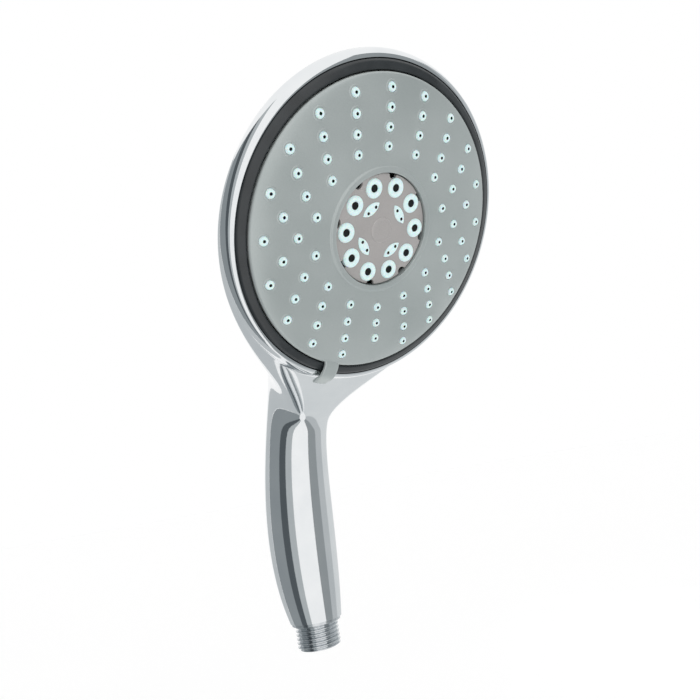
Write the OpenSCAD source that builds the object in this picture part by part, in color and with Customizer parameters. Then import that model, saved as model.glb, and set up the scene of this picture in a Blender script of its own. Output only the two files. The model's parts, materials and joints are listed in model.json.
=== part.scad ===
// Handheld shower head with a turning spray face.
// Origin: centre of the hose thread's lower end. +Z runs up the handle, the spray faces -Y.
// The spray face has its own frame: X across, Y up the face, Z out of the face, 0 at the plate's front.

/* [Head] */
// Outside diameter of the chrome rim
head_d = 140; // [125:1:170]
// Lean of the spray face away from the handle's axis, degrees
face_tilt = 35; // [25:1:42]
// Depth from the face to the widest line of the rim
rim_depth = 6; // [5:0.5:8]
// Wall of the housing
wall = 2.6; // [2:0.1:3.2]
// Wall of the housing at the front lip
rim_wall = 3.6; // [3:0.1:4.5]

/* [Handle] */
// Height of the neck's centre above the thread's end
neck_z = 109; // [95:1:140]
// How far the neck's centre stands forward of the thread's axis
neck_forward = 10; // [6:0.5:14]
// Radius of the neck
neck_r = 15.5; // [14.5:0.1:18]
// Radius of the handle's lower end
end_r = 12.8; // [12.6:0.1:14]
// How far the back of the grip swells, set by its control point
grip_swell = 26; // [18:0.5:30]
// Distance along the face from the rim down to the neck's centre
neck_drop = 34; // [30:0.5:42]
// Depth of the neck's centre behind the face
neck_depth = 32; // [29:0.5:36]

/* [Hose thread] */
// Major diameter of the G1/2 thread
thread_d = 20.955; // [20.955]
// Length of the thread
thread_len = 11.5; // [10:0.5:16]
// Thickness of the collar above the thread
collar_h = 1.5; // [1:0.25:3]
// Radius of the mouth's bore, which seats the filter and the limiter
inlet_bore_r = 7.5; // [7:0.1:8]

/* [Water tube] */
// Outside radius of the tube
tube_r = 6.5; // [5.5:0.1:6.8]
// Wall of the tube
tube_wall = 1.6; // [1.2:0.1:2.2]
// Radius of the tube's bend
bend_r = 60; // [40:1:80]
// Depth of the tube's upper end behind the face
tube_depth = 29; // [28:0.5:31]

/* [Spray face] */
// Thickness of the face plate
plate_t = 2.2; // [1.8:0.1:3]
// Width of the dark trim ring
ring_w = 4.2; // [3:0.1:6]
// Radius of a rain nozzle
nozzle_r = 2.1; // [1.6:0.05:2.6]
// Radius of a rain nozzle's jet hole
jet_r = 0.55; // [0.4:0.05:0.8]
// How far a rain nozzle stands out of the plate
nozzle_proud = 0.9; // [0.4:0.1:1.6]
// Radius of the outermost ring of rain nozzles
rain_r = 56; // [48:0.5:57]
// Distance between the rings of rain nozzles
rain_pitch = 7.35; // [6.5:0.05:8]
// Radius of the centre insert
insert_r = 23.6; // [22:0.1:24.5]
// Radius of the ring of massage nozzles
massage_ring_r = 18.3; // [17.5:0.1:19]
// Radius of a massage nozzle
massage_r = 4.1; // [3:0.1:4.4]
// Radius of the ring of mist pads
mist_ring_r = 10.8; // [10:0.1:11.3]

/* [Lever] */
// Width of the lever
lever_w = 7.5; // [6:0.25:10]
// How far the lever's tip reaches past the rim
lever_reach = 2; // [1:0.25:4]
// Angle between two click positions
click_angle = 21; // [15:1:24]

/* [Fits] */
// Gap between parts that turn past each other
turn_gap = 0.4; // [0.3:0.05:0.6]
// Running fit on the pivot, on the radius
pivot_fit = 0.05; // [0.02:0.01:0.1]
// Gap left between faces that rub lightly in use
rub_gap = 0.3; // [0.3:0.05:0.4]
// Gap between fixed parts that fit together
seat_gap = 0.15; // [0.1:0.05:0.3]

/* [Hidden] */
$fn = 96;

head_r = head_d / 2;
tilt_s = sin(face_tilt);
tilt_c = cos(face_tilt);

// Face frame: where the face's centre stands in the handle's side view.
neck_v = -(head_r + neck_drop);
face_y = -neck_forward + tilt_s * neck_v - tilt_c * neck_depth;
face_z = neck_z - tilt_c * neck_v - tilt_s * neck_depth;

// Radii of the head, from the outside in.
lip_r = head_r - rim_wall;
lip_depth = 1.2;
ring_out_r = lip_r - 0.3;
ring_in_r = ring_out_r - ring_w;
ring_skirt = rim_depth - 0.5;
plate_r = ring_in_r - turn_gap;
disc_r = plate_r - 1.6;

// Depths behind the face's front, as heights in the face frame.
plate_back = -plate_t;
mat_t = 1.2;
mat_back = plate_back - mat_t;
disc_front = mat_back - 0.05;
disc_t = 7;
disc_cone = 5;
disc_back = disc_front - disc_t;
body_front = disc_back - turn_gap;
flange_t = 2;
flange_r = lip_r - 17;
flange_front = body_front - 1;
flange_back = flange_front - flange_t;
cup_back = body_front - 9;
cover_t = 2;
cover_back = cup_back - cover_t;

// Valve body.
cup_in_r = 29;
cup_out_r = 39;
front_wall = 2.5;
port_ring_r = 19;
pocket_r = 4.2;
pocket_wall = 1.4;
pocket_depth = 7;
post_r = 6;
post_tip = -4.2;
boss_ring_r = flange_r - 5.4;
boss_r = 4.2;
screw_r = 1.5;
pilot_r = 1.25;
head_screw_r = 2.8;
cover_screw_ring_r = 35.5;
cover_screws_n = 6;
body_screws_n = 4;

// Click spring and its notches in the disc's back.
click_ring_r = flange_r - 6.4;
click_leaf_w = 5;
click_leaf_t = 0.4;
click_nose_r = 1.1;
click_depth = 0.75;
click_slack = 0.5;
click_well = 1.6;
click_span = 9;

// Spray pattern, in degrees round the face.
handle_plane = -90;
lever_angle = handle_plane - click_angle / 2;
pattern_axis = handle_plane + click_angle / 2;
rain_counts = [20, 18, 16, 14];
massage_n = 10;
massage_start = 9.6;
mist_n = 4;
mist_start = 45;
mist_jet_angle = 11.8;
notch_n = 8;
notch_r = 2;
insert_front = -0.8;
bezel_w = 2.8;
bezel_h = 0.6;
cap_r = 5.4;

// Inlet.
nipple_in_r = end_r - wall - 5 * seat_gap;
nipple_top = thread_len + collar_h + 14;
housing_end = thread_len + collar_h;
tube_start = thread_len + collar_h + 3;
tube_bore_r = tube_r - tube_wall;
socket_wall = 1.5;
socket_r = tube_r + seat_gap + socket_wall;
socket_end_v = -16;
socket_mouth_v = -52;
elbow_v = -22;
seal_cord_r = 0.9;
tube_cord_r = 0.5;
seal_slack = 0.1;

// ---------------------------------------------------------------- side view curves

// A point of the side view, from its height up the face and its depth behind it.
function head_pt(v, h) = [face_y - tilt_s * v + tilt_c * h, face_z + tilt_c * v + tilt_s * h];
function bez(p, t) =
  pow(1 - t, 3) * p[0] + 3 * t * pow(1 - t, 2) * p[1] + 3 * t * t * (1 - t) * p[2] + pow(t, 3) * p[3];
function slope(p, t) =
  3 * pow(1 - t, 2) * (p[1] - p[0]) + 6 * t * (1 - t) * (p[2] - p[1]) + 3 * t * t * (p[3] - p[2]);
function unit(a) = a / norm(a);

// The neck's section is a circle seen edge on, leaning by neck_lean.
neck_lean = face_tilt - 5;
neck_c = [-neck_forward, neck_z];
neck_across = [cos(neck_lean), sin(neck_lean)];
neck_f = neck_c - neck_r * neck_across;
neck_k = neck_c + neck_r * neck_across;
end_f = [-end_r, housing_end];
end_k = [end_r, housing_end];
rim_f = head_pt(-head_r, rim_depth);
rim_k = head_pt(head_r, rim_depth);

// Directions in which the front and the back of the handle leave the neck.
front_run = unit([6.5, -13.5]);
back_run = unit([11.2, -25]);
flare_run = unit(head_pt(-2.2, 1) - head_pt(0, 0));
dome_run = unit(head_pt(0, 1) - head_pt(0, 0));

front_head = [rim_f, rim_f + 8 * flare_run, neck_f - 8 * front_run, neck_f];
back_head = [rim_k, rim_k + 22 * dome_run, neck_k - 45 * back_run, neck_k];
front_grip = [neck_f, neck_f + 15 * front_run, [-end_r - 1.8, housing_end + 32], end_f];
back_grip = [neck_k, neck_k + 27 * back_run, [grip_swell, housing_end + 32], end_k];

// Points on the front and back curves: t runs 0 to 1 down the head and 1 to 2 down the grip.
function front_at(t) = t < 1 ? bez(front_head, t) : bez(front_grip, t - 1);
function back_at(t) = t < 1 ? bez(back_head, t) : bez(back_grip, t - 1);
function front_run_at(t) = unit(t < 1 ? slope(front_head, t) : slope(front_grip, t - 1));
function back_run_at(t) = unit(t < 1 ? slope(back_head, t) : slope(back_grip, t - 1));
function inset_at(t) = wall + (rim_wall - wall) * pow(max(0, 1 - t), 2);

// The same curves moved inwards by a part of the wall.
function front_in(t, part) = front_at(t) + part * inset_at(t) * [-front_run_at(t)[1], front_run_at(t)[0]];
function back_in(t, part) = back_at(t) + part * inset_at(t) * [back_run_at(t)[1], -back_run_at(t)[0]];

// Half width of a section: an ellipsoid's over the dome, a circle's down the grip.
dome_ratio = 5;
function swing(t) = let(d = unit(back_at(t) - front_at(t))) max(0, -d[0] * tilt_s + d[1] * tilt_c);
function half_w(t, part) =
  let(k2 = pow(swing(t), 2), c = norm(back_at(t) - front_at(t)) / 2)
  sqrt(pow(head_r, 2) * k2 / (k2 + pow(dome_ratio, 2) * (1 - k2)) + c * c * (1 - k2))
  - part * inset_at(t) * (1 + 0.3 * sin(90 * min(1, 2 * t)));

sides = 64;
function section(t, part) =
  let(f = front_in(t, part), k = back_in(t, part), m = (f + k) / 2, c = (k - f) / 2, w = half_w(t, part))
  [for (i = [0 : sides - 1]) let(a = 360 * i / sides)
    [w * sin(a), m[0] - c[0] * cos(a), m[1] - c[1] * cos(a)]];
// A circle parallel to the face.
function rim_circle(r, h) =
  [for (i = [0 : sides - 1]) let(a = 360 * i / sides, p = head_pt(-r * cos(a), h)) [r * sin(a), p[0], p[1]]];

// Faces between rings of points; a closed loop of rings makes a tube wall, an open one a solid.
function ring_faces(n, closed) =
  [for (j = [0 : n - (closed ? 1 : 2)]) let(b = (j + 1) % n)
    for (i = [0 : sides - 1]) let(i2 = (i + 1) % sides)
    each [[j * sides + i, j * sides + i2, b * sides + i2], [j * sides + i, b * sides + i2, b * sides + i]]];
function caps(n) =
  [[for (i = [0 : sides - 1]) sides - 1 - i], [for (i = [0 : sides - 1]) (n - 1) * sides + i]];

// Steps down the shell, closer together where the head turns into the neck.
head_steps = [0, 0.06, 0.13, 0.21, 0.3, 0.4, 0.5, 0.6, 0.69, 0.77, 0.84, 0.9, 0.95];
grip_steps = [1, 1.06, 1.14, 1.24, 1.35, 1.46, 1.57, 1.68, 1.78, 1.87, 1.94, 2];
shell_steps = concat(head_steps, grip_steps);
bead_steps = [90, 70, 50, 32, 15];

module shell() {
  bead = [for (a = bead_steps)
    rim_circle(lip_r + rim_wall * cos(a), rim_depth - (rim_depth - lip_depth) * sin(a))];
  outside = [for (t = shell_steps) section(t, 0)];
  inside = [for (j = [len(shell_steps) - 1 : -1 : 0]) section(shell_steps[j], 1)];
  rings = concat(bead, outside, inside);
  polyhedron([for (r = rings) each r], ring_faces(len(rings), true));
}

// The housing's solid shape down to half its wall, which trims the screw posts to the dome.
module half_wall_solid() {
  rings = [for (t = head_steps) section(t, 0.5)];
  polyhedron([for (r = rings) each r], concat(ring_faces(len(rings), false), caps(len(rings))));
}

// ---------------------------------------------------------------- helpers

module face_frame() {
  translate([0, face_y, face_z]) rotate([90 + face_tilt, 0, 0]) children();
}
module ring_of(n, r, start = 0) {
  for (i = [0 : n - 1]) rotate(start + 360 * i / n) translate([r, 0]) children();
}
module o_ring(r, cord = seal_cord_r) {
  rotate_extrude() translate([r, 0]) circle(cord, $fn = 32);
}
module pan_screw(len, shank = screw_r, head = head_screw_r) {
  difference() {
    union() {
      translate([0, 0, -len]) cylinder(len + 0.1, r = shank, $fn = 32);
      cylinder(1.6, r = head, $fn = 32);
    }
    for (a = [0, 90]) rotate(a) translate([-1.6, -0.35, 0.8]) cube([3.2, 0.7, 1]);
  }
}
// Places of the rain nozzles: rings centred on the pattern's axis, less the one nearest the lever.
function rain_places() =
  [for (j = [0 : len(rain_counts) - 1]) for (i = [0 : rain_counts[j] - 1])
    if (!(j == 0 && i == 0)) let(a = pattern_axis + 360 * i / rain_counts[j], r = rain_r - j * rain_pitch)
      [r * cos(a), r * sin(a)]];
module leaf(grow = 0) {
  intersection_for (s = [-1, 1]) translate([s * 4.3, 0]) circle(6.5 + grow);
}

// ---------------------------------------------------------------- fixed parts

module rear_housing() color("silver") {
  difference() {
    union() {
      shell();
      intersection() {
        half_wall_solid();
        face_frame() ring_of(body_screws_n, boss_ring_r, 45)
          translate([0, 0, -60]) cylinder(60 + flange_back - seat_gap, r = boss_r, $fn = 40);
      }
    }
    face_frame() ring_of(body_screws_n, boss_ring_r, 45)
      translate([0, 0, flange_back - 9]) cylinder(12, r = pilot_r, $fn = 32);
  }
}

module trim_ring() color("darkslategray") face_frame() rotate_extrude() polygon([
  [ring_in_r, -3], [ring_in_r, -0.2], [ring_in_r + 0.5, 0.3], [ring_out_r - 0.6, -0.75], [ring_out_r, -1.3],
  [ring_out_r, -ring_skirt], [ring_out_r - 2.2, -ring_skirt], [ring_out_r - 2.2, -3]
]);

module inlet_nipple() color("gainsboro") difference() {
  union() {
    cylinder(thread_len + 0.1, d = thread_d);
    translate([0, 0, thread_len]) cylinder(collar_h - 0.02, r = end_r - 0.8);
    translate([0, 0, thread_len]) cylinder(nipple_top - thread_len, r = nipple_in_r);
  }
  translate([0, 0, -1]) cylinder(thread_len + 1, r = inlet_bore_r);
  translate([0, 0, -1]) cylinder(thread_len + collar_h + 5, r = tube_bore_r);
  translate([0, 0, tube_start]) cylinder(nipple_top, r = tube_r + seat_gap);
  lower_end() translate([0, 0, lower_seal_z]) seal_groove();
}

module inlet_filter() color("dimgray") translate([0, 0, 1.5]) difference() {
  cylinder(1.4, r = inlet_bore_r - seat_gap);
  for (x = [-4 : 4], y = [-4 : 4]) if (norm([x, y]) < 4.4)
    translate([1.3 * x - 0.4, 1.3 * y - 0.4, -1]) cube([0.8, 0.8, 4]);
}

limiter_z = 4.5;
limiter_h = 4.5;
module flow_limiter() color("forestgreen") translate([0, 0, limiter_z]) difference() {
  cylinder(limiter_h, r = inlet_bore_r - seat_gap);
  translate([0, 0, limiter_h / 2]) o_ring(inlet_bore_r - seal_cord_r, seal_cord_r + seal_slack);
  ring_of(8, 3.8, 0) translate([0, 0, -1]) cylinder(8, r = 0.8, $fn = 24);
  translate([0, 0, -1]) cylinder(8, r = 1.2, $fn = 24);
}
module limiter_seal() color("black")
  translate([0, 0, limiter_z + limiter_h / 2]) o_ring(inlet_bore_r - seal_cord_r);

// Where the tube's straight lower run would meet its upper run, which is parallel to the face.
meet_z = face_z + (tube_depth + tilt_c * face_y) / tilt_s;
bend_len = bend_r * tan(face_tilt / 2);
meet_v = tilt_s * face_y + tilt_c * (meet_z - face_z);
tube_end_v = elbow_v - tube_bore_r - 1;
run_len = tube_end_v - meet_v - bend_len;
tube_seal_r = tube_r + tube_cord_r;
lower_len = meet_z - bend_len - tube_start;
lower_seal_z = 4;
upper_seal_z = run_len - 5;
module lower_end() {
  translate([0, 0, tube_start]) children();
}
module upper_end() {
  translate([0, 0, meet_z]) rotate([face_tilt, 0, 0]) translate([0, 0, bend_len]) children();
}
// The bend is drawn in a little from the straight ends, outside and inside.
bend_neck = 0.05;
module tube_length(len) difference() {
  cylinder(len, r = tube_r);
  translate([0, 0, -1]) cylinder(len + 2, r = tube_bore_r);
}
// A square groove in a socket's wall for the ring that seals it on the tube.
module seal_groove() {
  half = tube_cord_r + seal_slack;
  translate([0, 0, -half]) rotate_extrude() translate([tube_r, 0]) square(2 * half);
}
module water_tube() color("whitesmoke") {
  lower_end() tube_length(lower_len);
  translate([0, -bend_r, tube_start + lower_len]) rotate([90, 0, 90])
    rotate_extrude(angle = face_tilt) translate([bend_r, 0]) difference() {
      circle(tube_r - bend_neck);
      circle(tube_bore_r + bend_neck);
    }
  upper_end() tube_length(run_len);
}
module tube_seals() color("black") {
  lower_end() translate([0, 0, lower_seal_z]) o_ring(tube_seal_r, tube_cord_r);
  upper_end() translate([0, 0, upper_seal_z]) o_ring(tube_seal_r, tube_cord_r);
}

module valve_cover() color("ivory") face_frame() difference() {
  union() {
    translate([0, 0, cover_back]) cylinder(cover_t - 0.05, r = cup_out_r);
    translate([0, socket_mouth_v, -tube_depth]) rotate([-90, 0, 0])
      cylinder(socket_end_v - socket_mouth_v, r = socket_r);
    translate([0, elbow_v, -tube_depth]) cylinder(tube_depth + cover_back + 0.1, r = tube_r);
  }
  translate([0, socket_mouth_v - 1, -tube_depth]) rotate([-90, 0, 0])
    cylinder(tube_end_v - socket_mouth_v + 1.1, r = tube_r + seat_gap);
  translate([0, socket_mouth_v, -tube_depth]) rotate([-90, 0, 0])
    cylinder(elbow_v - socket_mouth_v, r = tube_bore_r);
  translate([0, elbow_v, -tube_depth]) cylinder(tube_depth, r = tube_bore_r);
  translate([0, tube_end_v - run_len + upper_seal_z, -tube_depth]) rotate([-90, 0, 0]) seal_groove();
  ring_of(cover_screws_n, cover_screw_ring_r) translate([0, 0, cover_back - 1])
    cylinder(5, r = screw_r + seat_gap, $fn = 32);
}

cover_seal_r = 31;
module cover_seal() color("black") face_frame()
  translate([0, 0, cup_back + seal_cord_r]) o_ring(cover_seal_r);

module cover_screws() color("lightsteelblue") face_frame() ring_of(cover_screws_n, cover_screw_ring_r)
  translate([0, 0, cover_back - 0.05]) mirror([0, 0, 1]) pan_screw(8, screw_r - 0.3);

module valve_body() color("linen") face_frame() difference() {
  union() {
    translate([0, 0, flange_back]) cylinder(flange_t, r = flange_r);
    translate([0, 0, cup_back]) cylinder(body_front - cup_back, r = cup_out_r);
    translate([0, 0, body_front - 1]) cylinder(post_tip - body_front + 1, r = post_r);
  }
  difference() {
    translate([0, 0, cup_back - 1]) cylinder(body_front - front_wall - cup_back + 1, r = cup_in_r);
    translate([0, 0, cup_back + 1]) cylinder(20, r = post_r + 1);
    rotate(handle_plane) translate([port_ring_r, 0, body_front - pocket_depth - 1.2])
      cylinder(20, r = pocket_r + pocket_wall);
  }
  rotate(handle_plane) translate([port_ring_r, 0, body_front - pocket_depth]) cylinder(20, r = pocket_r);
  rotate(handle_plane) translate([port_ring_r, 0, cup_back - 5]) cylinder(20, r = 2.4);
  translate([0, 0, cup_back - 1]) linear_extrude(2 * seal_cord_r + 1.1) difference() {
    circle(cover_seal_r + seal_cord_r + 0.1);
    circle(cover_seal_r - seal_cord_r - 0.1);
  }
  ring_of(cover_screws_n, cover_screw_ring_r) translate([0, 0, cup_back - 1])
    cylinder(8, r = pilot_r, $fn = 32);
  ring_of(body_screws_n, boss_ring_r, 45) translate([0, 0, flange_back - 1])
    cylinder(5, r = screw_r + seat_gap, $fn = 32);
  translate([0, 0, post_tip - 8]) cylinder(10, r = pilot_r + 0.4, $fn = 32);
  translate([0, 0, pivot_seal_z]) o_ring(post_r - seal_cord_r, seal_cord_r + seal_slack);
  click_place() translate([-click_span - 3, -click_leaf_w / 2 - 1, flange_front - click_well])
    cube([2 * click_span + 6, click_leaf_w + 2, 5]);
  click_place() for (s = [-1, 1]) translate([s * click_span, 0, flange_back - 3])
    cylinder(5, r = 0.9, $fn = 24);
}

module body_screws() color("lightsteelblue") face_frame() ring_of(body_screws_n, boss_ring_r, 45)
  translate([0, 0, flange_front + 0.05]) {
    translate([0, 0, -8]) cylinder(8.1, r = pilot_r - 0.1, $fn = 32);
    cylinder(0.8, r = head_screw_r, $fn = 32);
  }

// The rubber cup that carries water from the valve body to the disc's ports.
port_seal_h = 3.2;
module port_seal() color("black") face_frame() rotate(handle_plane)
  translate([port_ring_r, 0, body_front - port_seal_h]) difference() {
    union() {
      cylinder(port_seal_h, r = pocket_r - seat_gap);
      cylinder(port_seal_h + turn_gap - rub_gap, r = pocket_r - 0.9);
    }
    translate([0, 0, -1]) cylinder(8, r = 2.2);
  }
// Coil spring under the cup, swept along a helix.
spring_turns = 3;
spring_h = pocket_depth - port_seal_h - 0.5;
wire_r = 0.3;
module port_spring() color("silver") face_frame() rotate(handle_plane)
  translate([port_ring_r, 0, body_front - pocket_depth + wire_r + 0.1]) {
    per = 16;
    total = spring_turns * per;
    coil = pocket_r - seat_gap - wire_r - 0.1;
    pts = [for (j = [0 : total]) let(a = 360 * j / per) for (i = [0 : 7]) let(b = 45 * i)
      [(coil + wire_r * cos(b)) * cos(a), (coil + wire_r * cos(b)) * sin(a),
       (spring_h - 2 * wire_r) * j / total + wire_r * sin(b)]];
    sidesf = [for (j = [0 : total - 1]) for (i = [0 : 7]) let(i2 = (i + 1) % 8)
      each [[8 * j + i, 8 * j + i2, 8 * j + 8 + i2], [8 * j + i, 8 * j + 8 + i2, 8 * j + 8 + i]]];
    polyhedron(pts, concat(sidesf, [[for (i = [0 : 7]) 7 - i], [for (i = [0 : 7]) 8 * total + i]]));
  }

module click_place() rotate(90) translate([click_ring_r, 0, 0]) rotate(90) children();
// A flat leaf with a half-round nose that drops into the notches of the disc.
module click_spring() color("silver") face_frame() click_place() {
  difference() {
    translate([-click_span - 2.5, -click_leaf_w / 2, flange_front - click_well + 0.05])
      cube([2 * click_span + 5, click_leaf_w, click_leaf_t]);
    for (s = [-1, 1]) translate([s * click_span, 0, flange_front - 3]) cylinder(5, r = 1.1, $fn = 24);
  }
  translate([0, click_leaf_w / 2, leaf_top - 0.05]) rotate([90, 0, 0]) linear_extrude(click_leaf_w) {
    translate([-click_nose_r, 0]) square([2 * click_nose_r, nose_h - click_nose_r]);
    translate([0, nose_h - click_nose_r]) circle(click_nose_r, $fn = 40);
  }
}
leaf_top = flange_front - click_well + 0.05 + click_leaf_t;
nose_h = disc_back + click_depth - leaf_top + 0.05;
module click_spring_screws() color("lightsteelblue") face_frame() click_place() for (s = [-1, 1])
  translate([s * click_span, 0, flange_front - click_well + click_leaf_t + 0.1]) {
    cylinder(0.9, r = 1.7, $fn = 24);
    translate([0, 0, -2.4]) cylinder(2.5, r = 0.85, $fn = 24);
  }

pivot_seal_z = (disc_front + disc_back) / 2;
module pivot_seal() color("black") face_frame() translate([0, 0, pivot_seal_z]) o_ring(post_r - seal_cord_r);

washer_z = post_tip + 0.02;
module thrust_washer() color("gold") face_frame() translate([0, 0, washer_z]) difference() {
  cylinder(0.6, r = post_r + 1.6);
  translate([0, 0, -1]) cylinder(4, r = screw_r + 0.4, $fn = 32);
}
module centre_screw() color("lightsteelblue") face_frame() translate([0, 0, washer_z + 0.65]) difference() {
  union() {
    translate([0, 0, -8]) cylinder(8.1, r = pilot_r + 0.3, $fn = 32);
    cylinder(1, r = 3.4, $fn = 40);
  }
  for (a = [0, 90]) rotate(a) translate([-1.8, -0.4, 0.4]) cube([3.6, 0.8, 1]);
}

// ---------------------------------------------------------------- turning spray face

module plate_outline() {
  difference() {
    circle(plate_r);
    circle(insert_r + seat_gap);
    for (p = rain_places()) translate(p) circle(nozzle_r + seat_gap / 2, $fn = 24);
  }
}
lever_lift = 0.75;
lever_t = 1.5;
lever_bend_r = lip_r + 0.6;
lever_tip_r = head_r + lever_reach;
lever_drop = lever_tip_r - lever_bend_r;
module face_plate() color("darkgray") face_frame() {
  difference() {
    union() {
      translate([0, 0, plate_back]) linear_extrude(plate_t) plate_outline();
      translate([0, 0, -0.1]) rotate_extrude() polygon([
        [insert_r + seat_gap, 0],
        [insert_r + seat_gap + bezel_w, 0],
        [insert_r + seat_gap + bezel_w - 0.5, bezel_h + 0.1],
        [insert_r + seat_gap + 0.5, bezel_h + 0.1]
      ]);
      translate([0, 0, disc_front - 2.5]) linear_extrude(2.5 + plate_t) difference() {
        circle(plate_r);
        circle(disc_r + seat_gap);
      }
      rotate(lever_angle) rotate([90, 0, 0]) translate([0, 0, -lever_w / 2]) linear_extrude(lever_w)
        polygon([
          [plate_r - 3, -0.5],
          [plate_r, -0.5],
          [plate_r - 0.2, lever_lift],
          [lever_bend_r, lever_lift],
          [lever_tip_r - 0.4, lever_lift - lever_drop],
          [lever_tip_r + 0.9, lever_lift + 0.6 - lever_drop],
          [lever_bend_r + 0.6, lever_lift + lever_t],
          [plate_r, lever_lift + lever_t],
          [plate_r - 3, 0]
        ]);
    }
    ring_of(disc_screws_n, disc_screw_ring_r, pattern_axis + 9) translate([0, 0, plate_back - 0.1])
      cylinder(1.2, r = pilot_r, $fn = 24);
  }
}
disc_screws_n = 4;
disc_screw_ring_r = 29.3;

module nozzle_mat() color("azure") face_frame() {
  translate([0, 0, mat_back]) linear_extrude(mat_t - 0.03) difference() {
    circle(disc_r - 0.3);
    circle(disc_screw_ring_r + 2.2);
    for (p = rain_places()) translate(p) circle(jet_r, $fn = 16);
  }
  translate([0, 0, plate_back - 0.1]) linear_extrude(plate_t + nozzle_proud + 0.1) for (p = rain_places())
    translate(p) difference() {
      circle(nozzle_r - 0.02, $fn = 24);
      circle(jet_r, $fn = 16);
    }
}

centre_back = -6;
rib_t = 1.4;
rain_duct_r = 35;
hub_r = post_r + 1.8;
// Click positions, counted from the one the lever rests in.
click_steps = [-1 : 2];
module distributor_disc() color("lightgray") face_frame() difference() {
  union() {
    translate([0, 0, disc_back]) cylinder(disc_t, r1 = disc_r - disc_cone, r2 = disc_r);
    translate([0, 0, disc_back]) cylinder(plate_back - 0.05 - disc_back, r = disc_screw_ring_r + 2);
  }
  // annular channel behind the rain nozzles, then one each for massage and mist
  translate([0, 0, disc_front - 2.5]) linear_extrude(5) difference() {
    circle(disc_r - rib_t);
    circle(disc_screw_ring_r + 3);
  }
  translate([0, 0, centre_back]) linear_extrude(10) difference() {
    circle(insert_r + 1);
    circle(hub_r);
  }
  translate([0, 0, post_tip - rub_gap]) cylinder(10, r = hub_r + 1);
  translate([0, 0, centre_back - 1]) linear_extrude(5) difference() {
    circle(insert_r - 0.6);
    circle(mist_ring_r + 3.2);
  }
  // ports, one click apart, that the rubber cup feeds in turn
  for (i = click_steps) rotate(handle_plane - click_angle * i) translate([port_ring_r, 0, disc_back - 1])
    cylinder(i == 0 ? 3 : 12, r = 2, $fn = 32);
  // duct from the rain port out to the annular channel
  rotate(handle_plane) translate([port_ring_r, 0, disc_back + 1]) linear_extrude(1.6) {
    translate([0, -2]) square([rain_duct_r - port_ring_r, 4]);
    translate([rain_duct_r - port_ring_r, 0]) circle(2, $fn = 32);
  }
  rotate(handle_plane) translate([rain_duct_r, 0, disc_back + 1.5]) cylinder(10, r = 2, $fn = 32);
  translate([0, 0, disc_back - 1]) cylinder(20, r = post_r + pivot_fit);
  for (i = click_steps) rotate(90 - click_angle * i) translate([click_ring_r - click_leaf_w, 0, disc_back])
    rotate([0, 90, 0]) cylinder(2 * click_leaf_w, r = click_nose_r + click_slack, $fn = 32);
  ring_of(disc_screws_n, disc_screw_ring_r, pattern_axis + 9) translate([0, 0, disc_back - 1]) {
    cylinder(20, r = pilot_r + 0.2, $fn = 24);
    cylinder(2.3, r = 2.4, $fn = 32);
  }
}
module disc_screws() color("lightsteelblue") face_frame()
  ring_of(disc_screws_n, disc_screw_ring_r, pattern_axis + 9) translate([0, 0, disc_back + 0.35]) {
    cylinder(0.9, r = 2.2, $fn = 32);
    cylinder(plate_back + 1 - disc_back - 0.5, r = pilot_r - 0.1, $fn = 24);
  }

module insert_outline() difference() {
  circle(insert_r);
  ring_of(notch_n, insert_r, 0) circle(notch_r, $fn = 40);
  ring_of(massage_n, massage_ring_r, massage_start) circle(massage_r + seat_gap / 2, $fn = 48);
  ring_of(mist_n, mist_ring_r, mist_start) leaf(seat_gap / 2);
}
insert_t = 1.6;
module centre_insert() color("gray") face_frame() difference() {
  translate([0, 0, insert_front - insert_t]) linear_extrude(insert_t) insert_outline();
  translate([0, 0, insert_front - 0.9]) cylinder(5, r = cap_r + seat_gap);
  translate([0, 0, -10]) cylinder(20, r = 4);
}
mat2_back = centre_back + 0.1;
module massage_nozzles() color("azure") face_frame() {
  translate([0, 0, mat2_back]) linear_extrude(insert_front - insert_t - mat2_back - 0.05) difference() {
    circle(insert_r - 0.4);
    circle(mist_ring_r + 2.9);
    ring_of(massage_n, massage_ring_r, massage_start) circle(1.7, $fn = 32);
  }
  translate([0, 0, insert_front - insert_t - 0.1]) linear_extrude(insert_t + 0.1 + 0.5)
    ring_of(massage_n, massage_ring_r, massage_start) difference() {
      circle(massage_r - 0.02, $fn = 48);
      circle(1.7, $fn = 32);
    }
}
module mist_jets() {
  for (s = [-1, 1]) rotate(s * mist_jet_angle) translate([mist_ring_r, 0]) circle(0.7, $fn = 20);
}
module mist_nozzles() color("azure") face_frame() {
  translate([0, 0, mat2_back]) linear_extrude(insert_front - insert_t - mat2_back - 0.05) difference() {
    circle(mist_ring_r + 2.7);
    circle(hub_r + seat_gap);
    for (i = [0 : mist_n - 1]) rotate(mist_start + 90 * i) mist_jets();
  }
  translate([0, 0, insert_front - insert_t - 0.1]) linear_extrude(insert_t + 0.1 + 0.4)
    for (i = [0 : mist_n - 1]) rotate(mist_start + 90 * i) difference() {
      translate([mist_ring_r, 0]) leaf(-0.02);
      mist_jets();
    }
}
module centre_cap() color("gray") face_frame()
  translate([0, 0, insert_front - 0.85]) cylinder(0.95, r = cap_r);

// ---------------------------------------------------------------- nodes

rear_housing();
trim_ring();
inlet_nipple();
inlet_filter();
flow_limiter();
limiter_seal();
water_tube();
tube_seals();
valve_cover();
cover_seal();
cover_screws();
valve_body();
body_screws();
port_seal();
port_spring();
click_spring();
click_spring_screws();
pivot_seal();
thrust_washer();
centre_screw();
face_plate();
nozzle_mat();
distributor_disc();
disc_screws();
centre_insert();
massage_nozzles();
mist_nozzles();
centre_cap();
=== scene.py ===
import json
import math

import bpy
import numpy as np
from bpy.props import FloatProperty, FloatVectorProperty, IntProperty, PointerProperty
from mathutils import Matrix


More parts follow.
